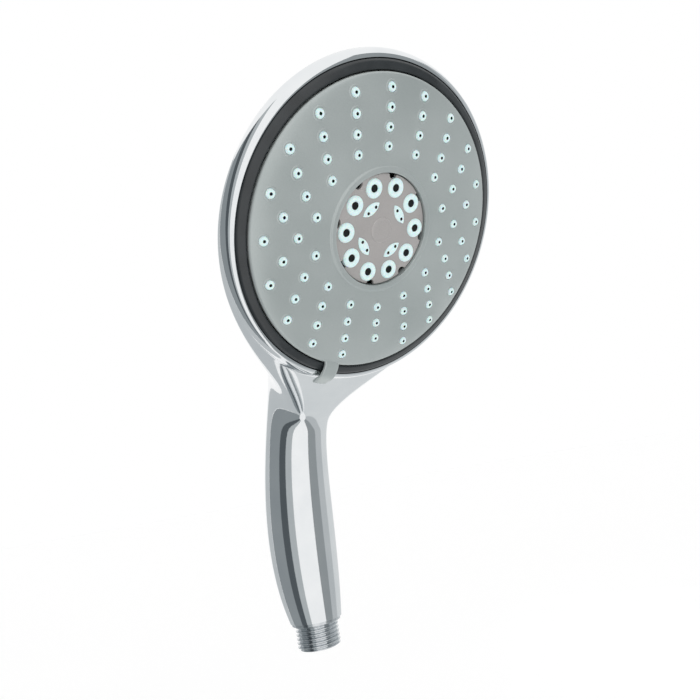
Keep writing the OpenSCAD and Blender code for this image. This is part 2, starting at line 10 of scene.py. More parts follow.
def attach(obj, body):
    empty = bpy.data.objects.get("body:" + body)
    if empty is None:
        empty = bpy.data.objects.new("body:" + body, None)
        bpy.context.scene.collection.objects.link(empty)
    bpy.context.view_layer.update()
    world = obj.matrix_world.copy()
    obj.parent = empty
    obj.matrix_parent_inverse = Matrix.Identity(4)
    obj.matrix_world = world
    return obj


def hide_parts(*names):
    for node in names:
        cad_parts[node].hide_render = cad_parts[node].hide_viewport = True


bl_info = {
    "name": "Handheld shower head",
    "version": (1, 0, 0),
    "blender": (4, 5, 0),
    "location": "3D View > Sidebar > Shower",
    "description": "Builds a handheld shower head's visible pieces round its packed frame",
    "category": "Add Mesh",
}

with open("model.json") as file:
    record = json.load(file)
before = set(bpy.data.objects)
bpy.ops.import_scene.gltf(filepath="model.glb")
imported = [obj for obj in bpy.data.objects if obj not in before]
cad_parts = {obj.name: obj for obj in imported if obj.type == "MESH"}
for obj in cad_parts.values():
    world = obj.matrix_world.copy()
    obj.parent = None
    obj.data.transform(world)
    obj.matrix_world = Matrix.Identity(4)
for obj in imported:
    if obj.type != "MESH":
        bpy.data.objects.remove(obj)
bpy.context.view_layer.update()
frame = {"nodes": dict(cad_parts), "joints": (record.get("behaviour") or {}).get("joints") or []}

MM = 0.001
HINGE = frame["joints"][0]
FACE_CENTRE = np.array(HINGE["pos_m"]) / MM
FACE_OUT = np.array(HINGE["axis"], float) / np.linalg.norm(HINGE["axis"])
FACE_ACROSS = np.array([1.0, 0.0, 0.0])
FACE_UP = np.cross(FACE_OUT, FACE_ACROSS)

# the spray face's dome: its height, the radius where it starts to fall and the radius where it ends
DOME_RISE, DOME_FLAT, DOME_EDGE = 2.5, 46.0, 62.5
# how squarely the housing's sections keep the rim's width behind the face: 1 is an ellipse
SHOULDER = 5


# ------------------------------------------------------------------ shape helpers, all in millimetres


def on_face(points):
    """Points given across, up and out of the spray face, moved to the object's own frame."""
    p = np.asarray(points, float)
    return FACE_CENTRE + p[..., :1] * FACE_ACROSS + p[..., 1:2] * FACE_UP + p[..., 2:3] * FACE_OUT


def on_dome(points):
    """Points of the spray face, lifted onto its gentle dome before they are placed. The dome is flat out to
    DOME_FLAT and falls by DOME_RISE at DOME_EDGE along a quarter of an ellipse."""
    p = np.asarray(points, float)
    share = np.clip((np.hypot(p[..., 0], p[..., 1]) - DOME_FLAT) / (DOME_EDGE - DOME_FLAT), 0, 1)
    lift = DOME_RISE * np.sqrt(1 - share**2)
    return on_face(np.concatenate([p[..., :2], p[..., 2:] + lift[..., None]], -1))


def filleted(corners, steps=6):
    """A profile of (x, y, corner radius) with each corner replaced by a parabola that leaves and
    meets the sides at that radius, or at under half a side if the side is short."""
    c = np.asarray(corners, float)
    p, r = c[:, :2], c[:, 2]
    line = [p[:1]]
    t = np.linspace(0, 1, steps)[:, None]
    for before, corner, after, radius in zip(p[:-2], p[1:-1], p[2:], r[1:-1]):
        back, on = before - corner, after - corner
        reach = min(radius, 0.49 * np.linalg.norm(back), 0.49 * np.linalg.norm(on))
        if reach < 1e-6:
            line.append(corner[None])
            continue
        a = corner + back / np.linalg.norm(back) * reach
        b = corner + on / np.linalg.norm(on) * reach
        line.append((1 - t) ** 2 * a + 2 * t * (1 - t) * corner + t**2 * b)
    line.append(p[-1:])
    return np.vstack(line)


def lathe(profile, sides):
    """A profile of radius and height turned about the out axis: x = r cos a, y = r sin a, z = h."""
    a = np.linspace(0, 2 * np.pi, sides, endpoint=False)
    r, h = np.asarray(profile, float).T
    return np.stack(
        [r[:, None] * np.cos(a), r[:, None] * np.sin(a), np.repeat(h[:, None], sides, 1)], -1
    )


def shell_faces(rows, cols, loop, start_pole, end_pole):
    """Vertex numbers of the quads between rows of points that each run round a ring. With loop the last
    row joins the first. A pole is a row that shrinks to one point, and its quads become triangles."""
    grid = np.arange(rows * cols).reshape(rows, cols)
    if start_pole:
        grid[0] = grid[0, 0]
    if end_pole:
        grid[-1] = grid[-1, 0]
    if loop:
        grid = np.vstack([grid, grid[:1]])
    ring = np.hstack([grid, grid[:, :1]])
    quads = np.stack([ring[:-1, :-1], ring[:-1, 1:], ring[1:, 1:], ring[1:, :-1]], -1)
    return quads.reshape(-1, 4)


def make_piece(name, points, finish, body, replaces=(), loop=False, poles=(False, False), hole=None,
               sharp=35.0):
    """A mesh from grids of points, (copies, rows, columns, 3) or (rows, columns, 3) in millimetres.
    Each grid is a closed shell: its rows run round, and either the last row joins the first or both ends
    shrink to a point. hole is (material, first row, last row) of the faces that get a second finish."""
    p = np.asarray(points, float)
    p = p[None] if p.ndim == 3 else p
    copies, rows, cols = p.shape[:3]
    quads = shell_faces(rows, cols, loop, *poles)
    second = np.zeros(len(quads), bool)
    # the hole's rows take the second material, which the nozzles use for the painted shade in their holes
    if hole:
        row = np.arange(len(quads)) // cols
        second = (row >= hole[1]) & (row < hole[2])
    co = p.reshape(-1, 3)
    one = p[0].reshape(-1, 3)
    tri = np.vstack([quads[:, [0, 1, 2]], quads[:, [0, 2, 3]]])
    volume = np.einsum("ij,ij->i", one[tri[:, 0]], np.cross(one[tri[:, 1]], one[tri[:, 2]])).sum()
    if volume < 0:
        quads = quads[:, ::-1]
    quads = (quads[None] + (np.arange(copies) * rows * cols)[:, None, None]).reshape(-1, 4)
    second = np.tile(second, copies)

    used = np.zeros(len(co), bool)
    used[quads.ravel()] = True
    new = np.cumsum(used) - 1
    quads, co = new[quads], co[used]

    same = quads == np.roll(quads, -1, axis=1)
    keep = ~same
    sizes = keep.sum(1)
    mesh = bpy.data.meshes.new(name)
    mesh.vertices.add(len(co))
    mesh.vertices.foreach_set("co", (co * MM).astype(np.float32).ravel())
    mesh.loops.add(int(sizes.sum()))
    mesh.loops.foreach_set("vertex_index", quads[keep].astype(np.int32))
    mesh.polygons.add(len(sizes))
    starts = np.concatenate([[0], np.cumsum(sizes)[:-1]])
    mesh.polygons.foreach_set("loop_start", starts.astype(np.int32))
    mesh.polygons.foreach_set("use_smooth", np.ones(len(sizes), bool))
    mesh.update(calc_edges=True)
    mesh.materials.append(finish)
    if hole:
        mesh.materials.append(hole[0])
        mesh.polygons.foreach_set("material_index", second.astype(np.int32))
    mesh.validate()
    mesh.set_sharp_from_angle(angle=math.radians(sharp))
    piece = bpy.data.objects.new(name, mesh)
    bpy.context.scene.collection.objects.link(piece)
    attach(piece, body)
    if replaces:
        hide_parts(*replaces)
    return piece


# ------------------------------------------------------------------ finishes


def linear(colour):
    """An sRGB hex colour as linear red, green, blue and alpha."""
    s = np.array([int(colour[i : i + 2], 16) for i in (1, 3, 5)]) / 255
    rgb = np.where(s <= 0.04045, s / 12.92, ((s + 0.055) / 1.055) ** 2.4)
    return (*rgb.tolist(), 1.0)


def add_node(tree, kind, settings=None, links=None):
    """Adds a node, sets its properties or input sockets from settings and links its inputs."""
    node = tree.nodes.new(kind)
    for key, value in (settings or {}).items():
        if isinstance(key, str) and hasattr(node, key):
            setattr(node, key, value)
        else:
            node.inputs[key].default_value = value
    for key, socket in (links or {}).items():
        tree.links.new(socket, node.inputs[key])
    return node


def new_finish(name, settings):
    """An empty node material with a Principled shader, its output and Object coordinates."""
    material = bpy.data.materials.new(name)
    material.use_nodes = True
    tree = material.node_tree
    tree.nodes.clear()
    shader = add_node(tree, "ShaderNodeBsdfPrincipled", settings)
    add_node(tree, "ShaderNodeOutputMaterial", links={"Surface": shader.outputs[0]})
    place = add_node(tree, "ShaderNodeTexCoord").outputs["Object"]
    return material, tree, shader, place


def speckle(tree, place, size_mm, detail=2.0):
    """Noise whose grains are size_mm across."""
    return add_node(
        tree, "ShaderNodeTexNoise", {"Scale": 1 / (size_mm * MM), "Detail": detail}, {"Vector": place}
    ).outputs["Fac"]


def between(tree, value, low, high, from_low=0.3, from_high=0.7):
    """A value carried from one range to another and held at its ends."""
    settings = {"From Min": from_low, "From Max": from_high, "To Min": low, "To Max": high}
    return add_node(tree, "ShaderNodeMapRange", settings, {"Value": value}).outputs[0]


def blend_colours(tree, factor, dark, light):
    """A colour between two hex colours."""
    mix = add_node(tree, "ShaderNodeMix", {"data_type": "RGBA"}, {0: factor})
    mix.inputs[6].default_value = linear(dark)
    mix.inputs[7].default_value = linear(light)
    return mix.outputs[2]


def bumped(tree, shader, height, depth_mm, strength=1.0):
    """Gives the shader a bump of the height's pattern."""
    bump = add_node(
        tree, "ShaderNodeBump", {"Distance": depth_mm * MM, "Strength": strength}, {"Height": height}
    )
    tree.links.new(bump.outputs[0], shader.inputs["Normal"])


def chrome_on_abs():
    """Bright chrome plated on moulded ABS: a mirror, with the faint waviness of the moulding under it
    and a film of handling that only just clouds it."""
    m, tree, shader, place = new_finish("chrome_plated_abs", {"Metallic": 1.0})
    film = speckle(tree, place, 14, 3)
    colour = blend_colours(tree, between(tree, film, 0, 1), "#E6E9EB", "#EEF0F1")
    tree.links.new(colour, shader.inputs["Base Color"])
    tree.links.new(between(tree, film, 0.05, 0.08), shader.inputs["Roughness"])
    bumped(tree, shader, speckle(tree, place, 26, 1), 0.006)
    return m


def chrome_on_brass():
    """Chrome over turned brass: cut thread flanks keep fine tool lines that soften the reflection."""
    m, tree, shader, place = new_finish("chrome_plated_brass", {"Metallic": 1.0})
    lines = add_node(
        tree,
        "ShaderNodeTexWave",
        {"wave_type": "BANDS", "bands_direction": "Z", "Scale": 1 / (0.35 * MM) / 20, "Distortion": 1.5},
        {"Vector": place},
    ).outputs["Fac"]
    film = speckle(tree, place, 3, 3)
    colour = blend_colours(tree, between(tree, film, 0, 1), "#C9CDD0", "#E2E5E7")
    tree.links.new(colour, shader.inputs["Base Color"])
    tree.links.new(between(tree, film, 0.1, 0.2), shader.inputs["Roughness"])
    bumped(tree, shader, lines, 0.01, 0.5)
    return m


def anthracite_abs():
    """Anthracite ABS, moulded against a polished tool: dark with a soft sheen and fine flow marks."""
    m, tree, shader, place = new_finish(
        "anthracite_abs", {"IOR": 1.53, "Coat Weight": 0.25, "Coat Roughness": 0.12}
    )
    cloud = speckle(tree, place, 9, 4)
    colour = blend_colours(tree, between(tree, cloud, 0, 1), "#1B2023", "#2B3033")
    tree.links.new(colour, shader.inputs["Base Color"])
    tree.links.new(between(tree, cloud, 0.26, 0.36), shader.inputs["Roughness"])
    bumped(tree, shader, speckle(tree, place, 0.5), 0.01, 0.5)
    return m


def pearl_grey_abs(name, dark, light, low, high):
    """Grey ABS with a pearl lacquer: mica flakes, drawn about 0.4 mm wide so that they show, lie flat
    in it and give the satin a slight metallic bloom."""
    m, tree, shader, place = new_finish(
        name, {"Metallic": 0.35, "IOR": 1.5, "Coat Weight": 0.2, "Coat Roughness": 0.2}
    )
    flakes = speckle(tree, place, 0.4, 2)
    cloud = speckle(tree, place, 30, 2)
    both = add_node(tree, "ShaderNodeMath", {"operation": "MULTIPLY_ADD", 1: 0.6}, {0: flakes, 2: cloud})
    colour = blend_colours(tree, between(tree, both.outputs[0], 0, 1, 0.5, 1.1), dark, light)
    tree.links.new(colour, shader.inputs["Base Color"])
    tree.links.new(between(tree, cloud, low, high), shader.inputs["Roughness"])
    bumped(tree, shader, flakes, 0.006, 0.6)
    return m


def aqua_silicone():
    """Soft silicone with an aqua tint: matt, a little light passes into it, with a fine moulded grain."""
    m, tree, shader, place = new_finish(
        "aqua_silicone",
        {"IOR": 1.41, "Subsurface Weight": 0.15, "Subsurface Scale": 0.5 * MM, "Sheen Weight": 0.1},
    )
    cloud = speckle(tree, place, 1.2, 3)
    colour = blend_colours(tree, between(tree, cloud, 0, 1), "#D6F2F3", "#E9FCFC")
    tree.links.new(colour, shader.inputs["Base Color"])
    tree.links.new(between(tree, cloud, 0.4, 0.52), shader.inputs["Roughness"])
    bumped(tree, shader, cloud, 0.01, 0.5)
    return m


def moulded(name, dark, light, grain_mm, low, high, ior=1.5):
    """A plain moulded plastic or rubber: slightly clouded in colour, with its tool's fine grain."""
    m, tree, shader, place = new_finish(name, {"IOR": ior})
    cloud = speckle(tree, place, 12 * grain_mm, 3)
    tree.links.new(blend_colours(tree, between(tree, cloud, 0, 1), dark, light), shader.inputs["Base Color"])
    tree.links.new(between(tree, cloud, low, high), shader.inputs["Roughness"])
    bumped(tree, shader, speckle(tree, place, grain_mm), 0.02, 0.5)
    return m


def metal(name, dark, light, grain_mm, low, high):
    """A bare metal as drawn or turned: its grain shows in the gloss more than in the colour."""
    m, tree, shader, place = new_finish(name, {"Metallic": 1.0})
    grain = speckle(tree, place, grain_mm, 4)
    tree.links.new(blend_colours(tree, between(tree, grain, 0, 1), dark, light), shader.inputs["Base Color"])
    tree.links.new(between(tree, grain, low, high), shader.inputs["Roughness"])
    bumped(tree, shader, grain, 0.005, 0.5)
    return m


FINISHES = {}


def finish(name):
    """The named finish, made once."""
    makers = {
        "chrome": chrome_on_abs,
        "brass_chrome": chrome_on_brass,
        "anthracite": anthracite_abs,
        "plate": lambda: pearl_grey_abs("pearl_grey_abs", "#A9B1B0", "#B9C0BF", 0.3, 0.38),
        "insert": lambda: pearl_grey_abs("pearl_grey_insert", "#B4B0AE", "#C6C2C0", 0.22, 0.3),
        "silicone": aqua_silicone,
        # painted shade: near-black on the shallow floor and walls of each nozzle's hole, standing for the
        # unlit inside of a nozzle
        "painted_hole_shade": lambda: moulded("painted_hole_shade_material", "#06090A", "#0E1314", 0.3, 0.4, 0.6, 1.41),
        # acetal, natural white, the usual plastic of shower inner parts
        "acetal": lambda: moulded("natural_acetal", "#DAD9D2", "#E8E7E1", 0.3, 0.4, 0.5, 1.48),
        # near-black acetal, which shows only through the insert's notches: its dark colour is painted shade
        # that makes the notches read dark
        "notch_shade_acetal": lambda: moulded("notch_shade_acetal", "#0B0D0E", "#15181A", 0.3, 0.4, 0.55, 1.48),
        "green_acetal": lambda: moulded("green_acetal", "#1F6B3A", "#2B7D48", 0.3, 0.4, 0.5, 1.48),
        # EPDM, the black rubber of drinking water seals
        "epdm": lambda: moulded("epdm_rubber", "#121314", "#1C1E1F", 0.15, 0.5, 0.65, 1.52),
        "stainless": lambda: metal("stainless_steel", "#A9ABAD", "#C4C6C8", 0.3, 0.2, 0.35),
        "brass": lambda: metal("turned_brass", "#B8923E", "#D2AF5C", 0.3, 0.22, 0.35),
    }
    if name not in FINISHES:
        FINISHES[name] = makers[name]()
    return FINISHES[name]


# ------------------------------------------------------------------ sizes a user can change


def size(name, description, millimetres):
    """A length property with its default given in millimetres."""
    return FloatProperty(
        name=name, description=description, default=millimetres * MM, unit="LENGTH", precision=5
    )


class HousingSizes(bpy.types.PropertyGroup):
    """Sizes of the chrome housing."""

    rim_radius: size("Rim radius", "Radius of the widest line of the rim", 70)
    rim_depth: size("Rim depth", "Depth of that line behind the face", 6)
    lip_radius: size("Lip radius", "Radius of the housing's front lip", 66.4)
    lip_depth: size("Lip depth", "Depth of the lip behind the face", 1.2)
    neck_height: size("Neck height", "Height of the neck's centre above the thread's end", 109)
    neck_forward: size("Neck offset", "How far the neck's centre stands forward of the thread's axis", 10)
    neck_radius: size("Neck radius", "Radius of the neck", 15.5)
    end_radius: size("Lower end radius", "Radius of the handle's lower end", 12.8)
    end_height: size("Lower end height", "Height of the handle's lower end", 13)
    grip_swell: size("Grip swell", "How far the back of the grip is pulled out", 26)
    wall: size("Wall", "Wall of the housing", 2.6)


class FaceSizes(bpy.types.PropertyGroup):
    """Sizes of the spray face."""

    ring_outer: size("Ring outer radius", "Outer radius of the dark trim ring", 66.1)
    ring_inner: size("Ring inner radius", "Inner radius of the dark trim ring", 61.9)
    plate_radius: size("Plate radius", "Radius of the grey plate", 61.5)
    insert_radius: size("Insert radius", "Radius of the centre insert", 23.6)
    bezel_width: size("Bezel width", "Width of the raised ring round the insert", 2.8)
    bezel_height: size("Bezel height", "Height of that ring", 0.6)
    insert_recess: size("Insert recess", "How far the insert lies under the plate's front", 0.8)
    cap_radius: size("Cap radius", "Radius of the cap in the middle", 5.4)
    lever_width: size("Lever width", "Width of the lever", 7.5)
    lever_tip: size("Lever tip radius", "How far the lever's tip stands from the face's centre", 72)
    lever_angle: FloatProperty(
        name="Lever angle", description="Place of the lever round the face", default=math.radians(-100.5),
        subtype="ANGLE",
    )


class NozzleSizes(bpy.types.PropertyGroup):
    """Sizes and counts of the nozzles."""

    rain_ring: size("Rain ring radius", "Radius of the outer ring of rain nozzles", 56)
    rain_pitch: size("Rain ring spacing", "Distance between the rings of rain nozzles", 7.35)
    rain_radius: size("Rain nozzle radius", "Radius of a rain nozzle", 2.1)
    rain_jet: size("Rain jet radius", "Radius of a rain nozzle's hole", 0.6)
    rain_proud: size("Rain nozzle height", "How far a rain nozzle stands out of the plate", 0.9)
    massage_ring: size("Massage ring radius", "Radius of the ring of massage nozzles", 18.3)
    massage_radius: size("Massage nozzle radius", "Radius of a massage nozzle", 4.1)
    massage_hole: size("Massage hole radius", "Radius of a massage nozzle's hole", 1.7)
    massage_count: IntProperty(name="Massage nozzles", description="Number of massage nozzles", default=10)
    mist_ring: size("Mist ring radius", "Radius of the ring of mist pads", 10.8)
    mist_jet: size("Mist jet radius", "Radius of a mist pad's hole", 0.7)


class ThreadSizes(bpy.types.PropertyGroup):
    """Sizes of the hose thread, a parallel pipe thread."""

    major: size("Major radius", "Radius over the thread's crests", 10.4775)
    minor: size("Minor radius", "Radius at the thread's roots", 9.3155)
    pitch: size("Pitch", "Distance between turns", 1.814)
    length: size("Length", "Length of the thread", 11.5)
    bore: size("Bore radius", "Radius of the mouth's bore", 7.5)
    bore_depth: size("Bore depth", "Depth of the bore that the filter and the limiter sit in", 11)
    tube_bore: size("Water way radius", "Radius of the water way above them", 4.9)
    collar: size("Collar radius", "Radius of the collar above the thread", 12)
    collar_top: size("Collar top", "Height of the collar's top", 12.98)
    top: size("Top", "Height of the nipple's top inside the handle", 27)


class StudioSettings(bpy.types.PropertyGroup):
    """The camera and the light."""

    lens: FloatProperty(name="Lens", description="Focal length", default=32.0, unit="CAMERA")
    floor_drop: size("Floor drop", "How far the floor lies under the thread's end", 300)
    backdrop: FloatVectorProperty(
        name="Backdrop",
        description="Colour of the floor and the backdrop",
        default=(1, 1, 1),
        subtype="COLOR",
    )


def mm(group):
    """A property group's lengths in millimetres, by name."""
    values = {}
    for key, prop in group.bl_rna.properties.items():
        if prop.type == "FLOAT" and prop.unit == "LENGTH":
            values[key] = getattr(group, key) / MM
    return values


# ------------------------------------------------------------------ the housing's surface


def unit(v):
    return v / np.linalg.norm(v, axis=-1, keepdims=True)


def bezier(p, t):
    """A cubic Bezier curve through four control points, as points for each t."""
    t = t[:, None]
    return (1 - t) ** 3 * p[0] + 3 * t * (1 - t) ** 2 * p[1] + 3 * t**2 * (1 - t) * p[2] + t**3 * p[3]


def softened(line, reach):
    """A curve averaged along itself with a bell of weights, turned about its ends so that they stay."""
    k = np.arange(-3 * reach, 3 * reach + 1)
    bell = np.exp(-0.5 * (k / reach) ** 2)
    bell /= bell.sum()
    n = 3 * reach
    padded = np.vstack([2 * line[0] - line[n:0:-1], line, 2 * line[-1] - line[-2 : -n - 2 : -1]])
    return np.stack([np.convolve(padded[:, i], bell, "valid") for i in range(line.shape[1])], -1)


def even(count, *lines):
    """Curves that share their rows, with rows evenly spaced by the distance they run on average."""
    steps = sum(np.linalg.norm(np.diff(line, axis=0), axis=1) for line in lines)
    along = np.concatenate([[0], np.cumsum(steps)])
    where = np.linspace(0, along[-1], count)
    return [
        np.stack([np.interp(where, along, line[:, i]) for i in range(line.shape[1])], -1) for line in lines
    ]


def side_curves(s, rows):
    """The front and the back of the handle in the side view, as (y, z) rows.
    Each is two Bezier curves end to end: from the rim to the neck, and from the neck to the lower end."""
    up, out = FACE_UP[1:], -FACE_OUT[1:]
    centre = FACE_CENTRE[1:]
    tilt = math.atan2(-up[0], up[1])
    neck_turn = math.radians(5)
    lean = tilt - neck_turn
    across = np.array([math.cos(lean), math.sin(lean)])
    neck = np.array([-s["neck_forward"], s["neck_height"]])
    neck_f, neck_k = neck - s["neck_radius"] * across, neck + s["neck_radius"] * across
    end_f = np.array([-s["end_radius"], s["end_height"]])
    end_k = np.array([s["end_radius"], s["end_height"]])
    rim_f = centre - s["rim_radius"] * up + s["rim_depth"] * out
    rim_k = centre + s["rim_radius"] * up + s["rim_depth"] * out
    front_run = unit(np.array([6.5, -13.5]))
    back_run = unit(np.array([11.2, -25.0]))
    flare_run = unit(-2.2 * up + out)
    # the lower control points, and how far the others pull along their directions
    low = s["end_height"] + 32
    grip_f = np.array([-s["end_radius"] - 1.8, low])
    grip_k = np.array([s["grip_swell"], low])
    rim_pull_f, above_neck_f, below_neck_f = 8, 8, 15
    rim_pull_k, above_neck_k, below_neck_k = 22, 45, 27
    t = np.linspace(0, 1, rows)
    front = np.vstack([
        bezier([rim_f, rim_f + rim_pull_f * flare_run, neck_f - above_neck_f * front_run, neck_f], t)[:-1],
        bezier([neck_f, neck_f + below_neck_f * front_run, grip_f, end_f], t),
    ])
    back = np.vstack([
        bezier([rim_k, rim_k + rim_pull_k * out, neck_k - above_neck_k * back_run, neck_k], t)[:-1],
        bezier([neck_k, neck_k + below_neck_k * back_run, grip_k, end_k], t),
    ])
    return front, back


def housing_rows(s, front, back, inset, sides):
    """Sections across the housing. Each is an ellipse through the front and the back points, whose half
    width w follows w^2 = R^2 k^2 / (k^2 + S^2 (1 - k^2)) + c^2 (1 - k^2): c is half the chord between
    the points, k how far the chord lies along the face and S the SHOULDER, so w is the rim's radius R
    over the face and c, a circle, down the handle. inset moves the surface inwards along the side
    curves' normals."""
    f_run, k_run = unit(np.gradient(front, axis=0)), unit(np.gradient(back, axis=0))
    chord = back - front
    half = np.linalg.norm(chord, axis=1) / 2
    k2 = np.clip(unit(chord) @ FACE_UP[1:], 0, 1) ** 2
    width = np.sqrt(s["rim_radius"] ** 2 * k2 / (k2 + SHOULDER**2 * (1 - k2)) + half**2 * (1 - k2)) - inset
    f = front + inset[:, None] * np.stack([-f_run[:, 1], f_run[:, 0]], -1)
    k = back + inset[:, None] * np.stack([k_run[:, 1], -k_run[:, 0]], -1)
    middle, reach = (f + k) / 2, (k - f) / 2
    a = np.linspace(0, 2 * np.pi, sides, endpoint=False)
    x = width[:, None] * np.sin(a)
    y = middle[:, :1] - reach[:, :1] * np.cos(a)
    z = middle[:, 1:] - reach[:, 1:] * np.cos(a)
    return np.stack([x, y, z], -1)


def bead_rows(s, sides):
    """The rounded rim: from inside the lip, over it and out to the rim's widest line along a quarter of
    an ellipse."""
    steps, last = 16, 6
    over = np.radians(np.linspace(90, last, steps))
    deep = s["rim_depth"] - s["lip_depth"]
    r = s["lip_radius"] + (s["rim_radius"] - s["lip_radius"]) * np.cos(over)
    h = s["rim_depth"] - deep * np.sin(over)
    inside = s["lip_radius"] - 0.25
    inner = np.array([[inside, s["rim_depth"]], [inside, s["lip_depth"] + 0.5]])
    profile = np.vstack([inner, np.stack([r, h], -1)])
    a = np.linspace(0, 2 * np.pi, sides, endpoint=False)
    x = profile[:, :1] * np.sin(a)
    y = -profile[:, :1] * np.cos(a)
    return on_face(np.stack([x, y, np.repeat(-profile[:, 1:], sides, 1)], -1))


def build_housing(s):
    """Chrome housing, in one moulding from the rim to the handle's lower end, with its wall."""
    sides, rows, kept_rows, softening = 224, 260, 200, 5
    front, back = side_curves(s, 240)
    front, back = (softened(line, softening) for line in even(rows, front, back))
    pick = np.round(np.linspace(0, rows - 1, kept_rows)).astype(int)
    # the wall is thicker by rim_extra at the rim and thins down to its own size over the rim's rows
    rim_rows, rim_extra = 60, 1.0
    wall = np.full(rows, s["wall"])
    wall[:rim_rows] += rim_extra * np.linspace(1, 0, rim_rows) ** 2
    outer = housing_rows(s, front, back, np.zeros(rows), sides)[pick]
    # the inside is seen only from below, so it keeps every fourth row
    inner = housing_rows(s, front, back, wall, sides)[pick[::-4]]
    foot_chamfer = [0.985, 0.985, 1]
    points = np.concatenate([bead_rows(s, sides), outer[1:], outer[-1:] * foot_chamfer, inner])
    return make_piece(
        "housing_shell",
        points,
        finish("chrome"),
        "handset",
        ["rear_housing"],
        loop=True,
        sharp=50,
    )


# ------------------------------------------------------------------ the spray face


def build_trim_ring(s):
    """Dark ring round the plate: its front falls away outwards, with rounded edges."""
    o, i = s["ring_outer"], s["ring_inner"]
    inner_back, skirt_back, skirt = -4, -5.4, 2.2
    profile = filleted([
        (i, inner_back, 0), (i, -0.25, 0.3), (i + 0.6, 0.3, 0.35), (o - 0.9, -0.55, 0.5), (o, -1.3, 0.5),
        (o, skirt_back, 0.2), (o - skirt, skirt_back, 0.2), (o - skirt, inner_back, 0.1), (i, inner_back, 0),
    ])
    points = on_face(lathe(profile[:-1], 256))
    return make_piece("trim_ring_moulding", points, finish("anthracite"), "handset",
                      ["trim_ring"], loop=True)


def build_plate(s):
    """Grey plate: a domed disc with a rounded edge and a skirt, a raised bezel round the insert's well, and
    the well. The profile is flat, with rows enough over the margin for on_dome to bend it."""
    r, well = s["plate_radius"], s["insert_radius"] + 0.15
    bezel, high = s["bezel_width"], s["bezel_height"]
    well_back, skirt_back, skirt, back = -3.0, -5.5, 1.2, -2.2
    margin = [(x, 0.0, 0) for x in np.linspace(DOME_FLAT, r - 0.6, 24)]
    profile = filleted([
        (well, well_back, 0), (well, high - 0.15, 0.2), (well + 0.5, high, 0.3),
        (well + bezel - 0.7, high, 0.3), (well + bezel, 0.02, 0.35), (well + bezel + 6, 0.0, 0), *margin,
        (r, -0.4, 0.3), (r, skirt_back, 0.2), (r - skirt, skirt_back, 0.2), (r - skirt, back, 0.2),
        (well, well_back, 0),
    ])
    return make_piece("spray_plate", on_dome(lathe(profile[:-1], 256)), finish("plate"), "spray_face",
                      ["face_plate"], loop=True)


def build_lever(s):
    """Lever: a flat bar with rounded edges, carried along a path that leaves the plate, runs over the
    ring and turns back past the rim. Its width flares where it leaves the plate."""
    plate, ring, tip_r = s["plate_radius"], s["ring_outer"], s["lever_tip"]
    over_ring, tip_height = 1.5, -3.6
    along = filleted([
        (plate - 4.5, -0.5, 0), (plate - 1.2, 0.3, 1.5), (plate + 0.8, over_ring, 1.0),
        (ring + 1.0, over_ring, 2.6), (tip_r + 0.3, tip_height, 0),
    ], steps=9)
    (path,) = even(40, along)
    run = unit(np.gradient(path, axis=0))
    rise = np.stack([-run[:, 1], run[:, 0]], -1)
    share = np.linspace(0, 1, len(path))
    flare, flare_reach, taper, half_thick = 0.35, 0.16, 0.12, 0.75
    half_w = s["lever_width"] / 2 * (1 + flare * np.exp(-(share / flare_reach) ** 2) - taper * share**6)
    half_t = half_thick * np.ones_like(share)
    # the tip's end is rounded off over its last part
    tip_starts = 0.93
    into_tip = np.clip((share - tip_starts) / (1 - tip_starts), 0, 0.995)
    tip = np.sqrt(1 - into_tip**2)
    half_w, half_t = half_w * (0.75 + 0.25 * tip), half_t * (0.2 + 0.8 * tip)
    a = np.linspace(0, 2 * np.pi, 48, endpoint=False)
    # a superellipse of power 5: nearly a rectangle, with round corners
    square = 2 / 5
    cx = np.sign(np.cos(a)) * np.abs(np.cos(a)) ** square
    cy = np.sign(np.sin(a)) * np.abs(np.sin(a)) ** square
    r = path[:, :1] + rise[:, :1] * half_t[:, None] * cy
    h = path[:, 1:] + rise[:, 1:] * half_t[:, None] * cy
    w = half_w[:, None] * cx
    # both ends close on their middle
    rows = np.stack([r, w, h], -1)
    ends = rows[[0, -1]].mean(1, keepdims=True) * np.ones((1, len(a), 1))
    rows = np.concatenate([ends[:1], rows, ends[1:]])
    c, d = math.cos(s["lever_turn"]), math.sin(s["lever_turn"])
    x, y = rows[..., 0] * c - rows[..., 1] * d, rows[..., 0] * d + rows[..., 1] * c
    points = on_face(np.stack([x, y, rows[..., 2]], -1))
    return make_piece(
        "selector_lever", points, finish("plate"), "spray_face", poles=(True, True), sharp=60
    )


def nozzle_grid(profile, places, sides):
    """One turned nozzle copied to each place on the face: (copies, rows, columns, 3)."""
    one = lathe(profile, sides)
    where = np.concatenate([places, np.zeros((len(places), 1))], 1)
    return on_dome(one[None] + where[:, None, None])


def ring_places(count, radius, start):
    """Places evenly round a circle, from a start angle in radians."""
    a = start + 2 * np.pi * np.arange(count) / count
    return radius * np.stack([np.cos(a), np.sin(a)], -1)


